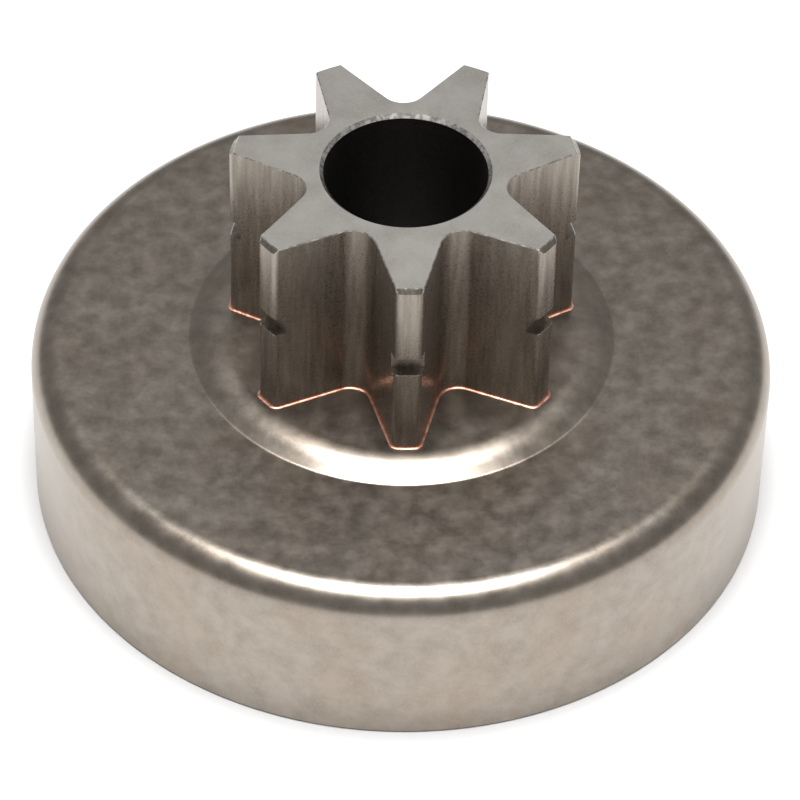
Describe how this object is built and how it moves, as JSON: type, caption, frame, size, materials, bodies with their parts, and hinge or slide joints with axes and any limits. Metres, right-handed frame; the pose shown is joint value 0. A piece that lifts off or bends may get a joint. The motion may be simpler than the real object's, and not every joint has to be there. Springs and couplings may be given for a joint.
{
  "type": "chainsaw clutch drum",
  "caption": "Drawn steel clutch cup with a raised boss and a long spur sprocket brazed into its middle, bored through for a needle bearing on the crankshaft.",
  "frame": {"origin": "centre of the open rim's plane, on the axis of the bore", "axes": "+Z along the bore towards the sprocket's outer end; -Y to the front, where one tooth points; +X to the right"},
  "size_m": [0.074, 0.074, 0.0399],
  "materials": {
    "sheet_steel": "drawn and heat-tinted steel sheet, satin, with a fine mottle",
    "sprocket_steel": "hardened steel, matt on the end faces and satin on the flanks",
    "braze_copper": "copper braze, satin"
  },
  "bodies": {
    "root": {"drum_cup": "sheet_steel", "sprocket": "sprocket_steel", "braze_joint": "braze_copper"}
  },
  "joints": []
}
